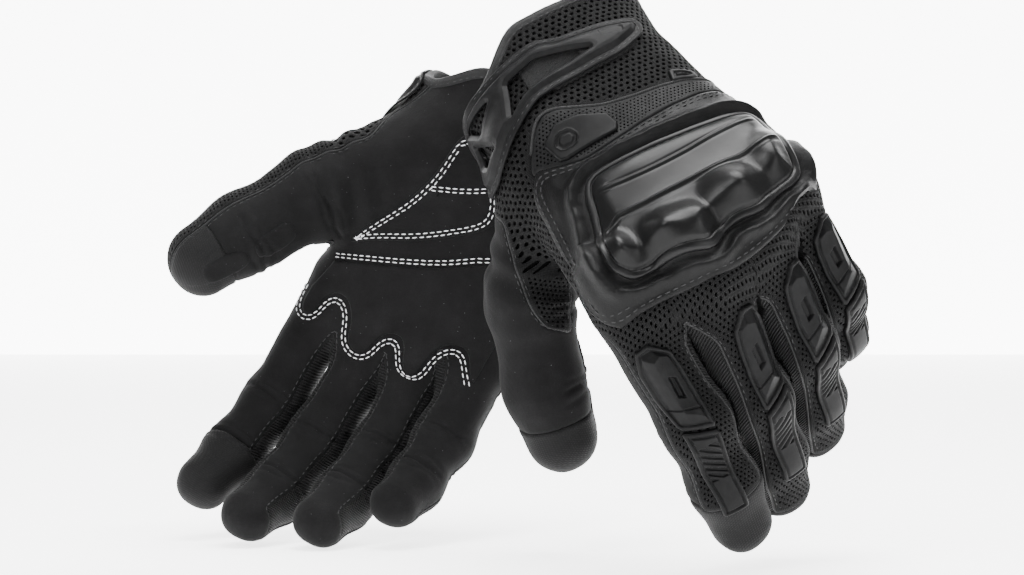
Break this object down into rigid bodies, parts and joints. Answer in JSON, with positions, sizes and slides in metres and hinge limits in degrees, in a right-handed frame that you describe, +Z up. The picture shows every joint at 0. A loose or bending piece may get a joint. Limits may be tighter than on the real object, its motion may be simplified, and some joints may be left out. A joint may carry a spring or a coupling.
{
  "type": "riding gloves",
  "caption": "Pair of short-cuff riding gloves with a hard knuckle guard, jointed fingers with moulded finger guards, and a hook-and-loop wrist strap.",
  "frame": {"origin": "middle of the right glove's cuff opening", "axes": "+X to the viewer's right, +Y away from the viewer, +Z up; fingers point down and the palm of the right glove faces -Y"},
  "size_m": [0.2627, 0.197, 0.2131],
  "materials": {
    "shell_fabric": "stretch mesh, rib knit and suede sewn into one padded shell",
    "binding_tape": "woven elastic tape",
    "leather": "fine grain, semi-matte",
    "foam": "cut foam",
    "hard_guard": "satin moulded plastic",
    "moulded_rubber": "matte moulded rubber",
    "suede": "synthetic suede, brushed",
    "loop": "loop fastener",
    "hook": "hook fastener",
    "touch_suede": "conductive touch-screen suede"
  },
  "bodies": {
    "right_hand": {"right_hand_shell": "shell_fabric", "right_cuff_binding": "binding_tape", "right_knuckle_leather": "leather", "right_knuckle_pad": "foam", "right_knuckle_guard": "hard_guard", "right_emblem_plate": "moulded_rubber", "right_palm_patches": "suede", "right_loop_patch": "loop"},
    "right_index_base": {"right_index_base_stall": "shell_fabric", "right_index_upper_guard": "moulded_rubber"},
    "right_index_tip": {"right_index_tip_stall": "shell_fabric", "right_index_lower_guard": "moulded_rubber", "right_index_touch_pad": "touch_suede"},
    "right_middle_base": {"right_middle_base_stall": "shell_fabric", "right_middle_upper_guard": "moulded_rubber"},
    "right_middle_tip": {"right_middle_tip_stall": "shell_fabric", "right_middle_lower_guard": "moulded_rubber"},
    "right_ring_base": {"right_ring_base_stall": "shell_fabric", "right_ring_upper_guard": "moulded_rubber"},
    "right_ring_tip": {"right_ring_tip_stall": "shell_fabric", "right_ring_lower_guard": "moulded_rubber"},
    "right_pinky_base": {"right_pinky_base_stall": "shell_fabric", "right_pinky_upper_guard": "moulded_rubber"},
    "right_pinky_tip": {"right_pinky_tip_stall": "shell_fabric", "right_pinky_lower_guard": "moulded_rubber"},
    "right_thumb_base": {"right_thumb_base_stall": "shell_fabric"},
    "right_thumb_tip": {"right_thumb_tip_stall": "shell_fabric", "right_thumb_touch_pad": "touch_suede"},
    "right_strap": {"right_wrist_strap": "moulded_rubber", "right_hook_patch": "hook"},
    "left_hand": {"left_hand_shell": "shell_fabric", "left_cuff_binding": "binding_tape", "left_knuckle_leather": "leather", "left_knuckle_pad": "foam", "left_knuckle_guard": "hard_guard", "left_emblem_plate": "moulded_rubber", "left_palm_patches": "suede", "left_loop_patch": "loop"},
    "left_index_base": {"left_index_base_stall": "shell_fabric", "left_index_upper_guard": "moulded_rubber"},
    "left_index_tip": {"left_index_tip_stall": "shell_fabric", "left_index_lower_guard": "moulded_rubber", "left_index_touch_pad": "touch_suede"},
    "left_middle_base": {"left_middle_base_stall": "shell_fabric", "left_middle_upper_guard": "moulded_rubber"},
    "left_middle_tip": {"left_middle_tip_stall": "shell_fabric", "left_middle_lower_guard": "moulded_rubber"},
    "left_ring_base": {"left_ring_base_stall": "shell_fabric", "left_ring_upper_guard": "moulded_rubber"},
    "left_ring_tip": {"left_ring_tip_stall": "shell_fabric", "left_ring_lower_guard": "moulded_rubber"},
    "left_pinky_base": {"left_pinky_base_stall": "shell_fabric", "left_pinky_upper_guard": "moulded_rubber"},
    "left_pinky_tip": {"left_pinky_tip_stall": "shell_fabric", "left_pinky_lower_guard": "moulded_rubber"},
    "left_thumb_base": {"left_thumb_base_stall": "shell_fabric"},
    "left_thumb_tip": {"left_thumb_tip_stall": "shell_fabric", "left_thumb_touch_pad": "touch_suede"},
    "left_strap": {"left_wrist_strap": "moulded_rubber", "left_hook_patch": "hook"}
  },
  "joints": [
    {"name": "right_index_base_bend", "type": "hinge", "parent": "right_hand", "child": "right_index_base", "pos_m": [-0.08488, 0.0163, -0.09593], "axis": [-0.8475, 0.2735, 0.455], "range_deg": [-12, 42]},
    {"name": "right_index_tip_bend", "type": "hinge", "parent": "right_index_base", "child": "right_index_tip", "pos_m": [-0.10733, 0.011, -0.13457], "axis": [-0.8475, 0.2735, 0.455], "range_deg": [-10.8, 37.8]},
    {"name": "right_middle_base_bend", "type": "hinge", "parent": "right_hand", "child": "right_middle_base", "pos_m": [-0.06572, 0.01081, -0.11107], "axis": [-0.8665, 0.2761, 0.4158], "range_deg": [-12, 42]},
    {"name": "right_middle_tip_bend", "type": "hinge", "parent": "right_middle_base", "child": "right_middle_tip", "pos_m": [-0.08857, -0.0022, -0.15003], "axis": [-0.8665, 0.2761, 0.4158], "range_deg": [-10.8, 37.8]},
    {"name": "right_ring_base_bend", "type": "hinge", "parent": "right_hand", "child": "right_ring_base", "pos_m": [-0.04364, 0.00309, -0.11665], "axis": [-0.8904, 0.279, 0.3597], "range_deg": [-12, 42]},
    {"name": "right_ring_tip_bend", "type": "hinge", "parent": "right_ring_base", "child": "right_ring_tip", "pos_m": [-0.06256, -0.01087, -0.15265], "axis": [-0.8904, 0.279, 0.3597], "range_deg": [-10.8, 37.8]},
    {"name": "right_pinky_base_bend", "type": "hinge", "parent": "right_hand", "child": "right_pinky_base", "pos_m": [-0.02166, -0.0063, -0.11673], "axis": [-0.8935, 0.2793, 0.3516], "range_deg": [-12, 42]},
    {"name": "right_pinky_tip_bend", "type": "hinge", "parent": "right_pinky_base", "child": "right_pinky_tip", "pos_m": [-0.03759, -0.01781, -0.14808], "axis": [-0.8935, 0.2793, 0.3516], "range_deg": [-10.8, 37.8]},
    {"name": "right_thumb_base_bend", "type": "hinge", "parent": "right_hand", "child": "right_thumb_base", "pos_m": [-0.08831, -0.00079, -0.04863], "axis": [-0.1707, -0.7689, 0.6162], "range_deg": [-10, 16]},
    {"name": "right_thumb_tip_bend", "type": "hinge", "parent": "right_thumb_base", "child": "right_thumb_tip", "pos_m": [-0.11662, -0.00833, -0.06588], "axis": [-0.1707, -0.7689, 0.6162], "range_deg": [-10, 16]},
    {"name": "right_strap_open", "type": "hinge", "parent": "right_hand", "child": "right_strap", "pos_m": [-0.0508, 0.01357, -0.01246], "axis": [0.4329, -0.0593, 0.8995], "range_deg": [0, 95]},
    {"name": "left_glove_lift", "type": "slide", "parent": "right_hand", "child": "left_hand", "axis": [0, -1, 0], "range_m": [0, 0.15]},
    {"name": "left_index_base_bend", "type": "hinge", "parent": "left_hand", "child": "left_index_base", "pos_m": [0.03124, -0.13584, -0.09591], "axis": [0.7887, 0.2849, 0.5447], "range_deg": [-40, 20]},
    {"name": "left_index_tip_bend", "type": "hinge", "parent": "left_index_base", "child": "left_index_tip", "pos_m": [0.05366, -0.1258, -0.13362], "axis": [0.7887, 0.2849, 0.5447], "range_deg": [-36, 18]},
    {"name": "left_middle_base_bend", "type": "hinge", "parent": "left_hand", "child": "left_middle_base", "pos_m": [0.05456, -0.13429, -0.08696], "axis": [0.7728, 0.2994, 0.5596], "range_deg": [-40, 20]},
    {"name": "left_middle_tip_bend", "type": "hinge", "parent": "left_middle_base", "child": "left_middle_tip", "pos_m": [0.07517, -0.11618, -0.12511], "axis": [0.7728, 0.2994, 0.5596], "range_deg": [-36, 18]},
    {"name": "left_ring_base_bend", "type": "hinge", "parent": "left_hand", "child": "left_ring_base", "pos_m": [0.07232, -0.12553, -0.07332], "axis": [0.7451, 0.323, 0.5836], "range_deg": [-40, 20]},
    {"name": "left_ring_tip_bend", "type": "hinge", "parent": "left_ring_base", "child": "left_ring_tip", "pos_m": [0.09227, -0.1093, -0.10778], "axis": [0.7451, 0.323, 0.5836], "range_deg": [-36, 18]},
    {"name": "left_pinky_base_bend", "type": "hinge", "parent": "left_hand", "child": "left_pinky_base", "pos_m": [0.08616, -0.11269, -0.05866], "axis": [0.7507, 0.3184, 0.5789], "range_deg": [-40, 20]},
    {"name": "left_pinky_tip_bend", "type": "hinge", "parent": "left_pinky_base", "child": "left_pinky_tip", "pos_m": [0.1038, -0.09991, -0.08857], "axis": [0.7507, 0.3184, 0.5789], "range_deg": [-36, 18]},
    {"name": "left_thumb_base_bend", "type": "hinge", "parent": "left_hand", "child": "left_thumb_base", "pos_m": [-0.00346, -0.07754, -0.09179], "axis": [0.1405, -0.9667, -0.2141], "range_deg": [-18, 20]},
    {"name": "left_thumb_tip_bend", "type": "hinge", "parent": "left_thumb_base", "child": "left_thumb_tip", "pos_m": [0.00215, -0.06952, -0.12435], "axis": [0.1405, -0.9667, -0.2141], "range_deg": [-18, 20]},
    {"name": "left_strap_open", "type": "hinge", "parent": "left_hand", "child": "left_strap", "pos_m": [-0.01886, -0.08501, -0.04075], "axis": [0.4981, -0.5878, -0.6375], "range_deg": [0, 95]}
  ],
  "couplings": [
    {"joint": "right_index_tip_bend", "follows": "right_index_base_bend", "ratio": 0.9},
    {"joint": "right_middle_tip_bend", "follows": "right_middle_base_bend", "ratio": 0.9},
    {"joint": "right_ring_tip_bend", "follows": "right_ring_base_bend", "ratio": 0.9},
    {"joint": "right_pinky_tip_bend", "follows": "right_pinky_base_bend", "ratio": 0.9},
    {"joint": "right_thumb_tip_bend", "follows": "right_thumb_base_bend", "ratio": 1},
    {"joint": "left_index_tip_bend", "follows": "left_index_base_bend", "ratio": 0.9},
    {"joint": "left_middle_tip_bend", "follows": "left_middle_base_bend", "ratio": 0.9},
    {"joint": "left_ring_tip_bend", "follows": "left_ring_base_bend", "ratio": 0.9},
    {"joint": "left_pinky_tip_bend", "follows": "left_pinky_base_bend", "ratio": 0.9},
    {"joint": "left_thumb_tip_bend", "follows": "left_thumb_base_bend", "ratio": 1}
  ]
}
